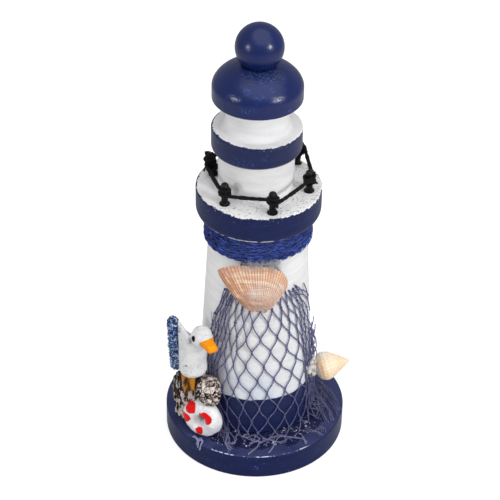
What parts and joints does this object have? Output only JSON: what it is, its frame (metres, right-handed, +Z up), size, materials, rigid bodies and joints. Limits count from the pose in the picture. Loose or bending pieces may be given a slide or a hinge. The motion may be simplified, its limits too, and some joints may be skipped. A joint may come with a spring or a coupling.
{
  "type": "lighthouse ornament",
  "caption": "Painted wooden lighthouse ornament with a roped gallery, a fishing net, two shells and a small gull on rocks beside a life ring",
  "frame": {"origin": "centre of the base disc's underside, where the ornament rests", "axes": "+Z up along the tower's axis, -Y to the front where the net and the fan shell are, +X to the right as seen from the front, towards the whelk shell"},
  "size_m": [0.0923, 0.09, 0.2256],
  "materials": {
    "navy_paint": "satin navy paint on turned wood, white brushed on the upper faces of the gallery and the canopy",
    "white_paint": "satin white paint on turned wood, with a navy band painted round the tower's foot",
    "bare_wood": "unpainted dowel",
    "screw_steel": "zinc plated",
    "blue_rope": "royal blue sisal twine, fuzzy",
    "black_paint": "black, satin",
    "black_cord": "waxed black twine",
    "net_cord": "blue grey knotted net",
    "clear_glue": "clear hot-melt glue",
    "fan_shell_lime": "natural ribbed shell, peach with cream bands",
    "whelk_lime": "natural coiled shell, cream",
    "dark_resin": "cast resin, dark brown with white dry brushing",
    "veined_resin": "cast resin, pinkish white with brown veins",
    "white_resin": "cast resin, white paint with small grey specks, red bands on the life ring",
    "orange_resin": "orange paint on cast resin",
    "black_resin": "black paint on cast resin",
    "blue_resin": "speckled royal and light blue paint on cast resin",
    "brown_resin": "ochre brown paint on cast resin"
  },
  "bodies": {
    "root": {"base_disc": "navy_paint", "tower_body": "white_paint", "gallery_disc": "navy_paint", "lantern_room": "white_paint", "lantern_canopy": "navy_paint", "lantern_neck": "white_paint", "roof_dome": "navy_paint", "roof_ball": "navy_paint", "base_screw": "screw_steel", "gallery_dowel": "bare_wood", "lantern_dowel": "bare_wood", "roof_dowels": "bare_wood", "rope_binding": "blue_rope", "railing_post_1": "black_paint", "railing_post_2": "black_paint", "railing_post_3": "black_paint", "railing_post_4": "black_paint", "railing_post_5": "black_paint", "railing_post_6": "black_paint", "railing_rope": "black_cord", "fishing_net": "net_cord", "net_gather": "net_cord", "glue_fillet": "clear_glue", "fan_shell": "fan_shell_lime", "whelk_shell": "whelk_lime", "shell_glue": "clear_glue", "rock_core": "dark_resin", "rock_left": "dark_resin", "rock_right": "veined_resin", "life_ring": "white_resin", "gull_body": "white_resin", "gull_beak": "orange_resin", "gull_eyes": "black_resin", "gull_wing_right": "white_resin", "gull_wing_left": "white_resin", "gull_feathers": "blue_resin", "gull_legs": "brown_resin"}
  },
  "joints": []
}
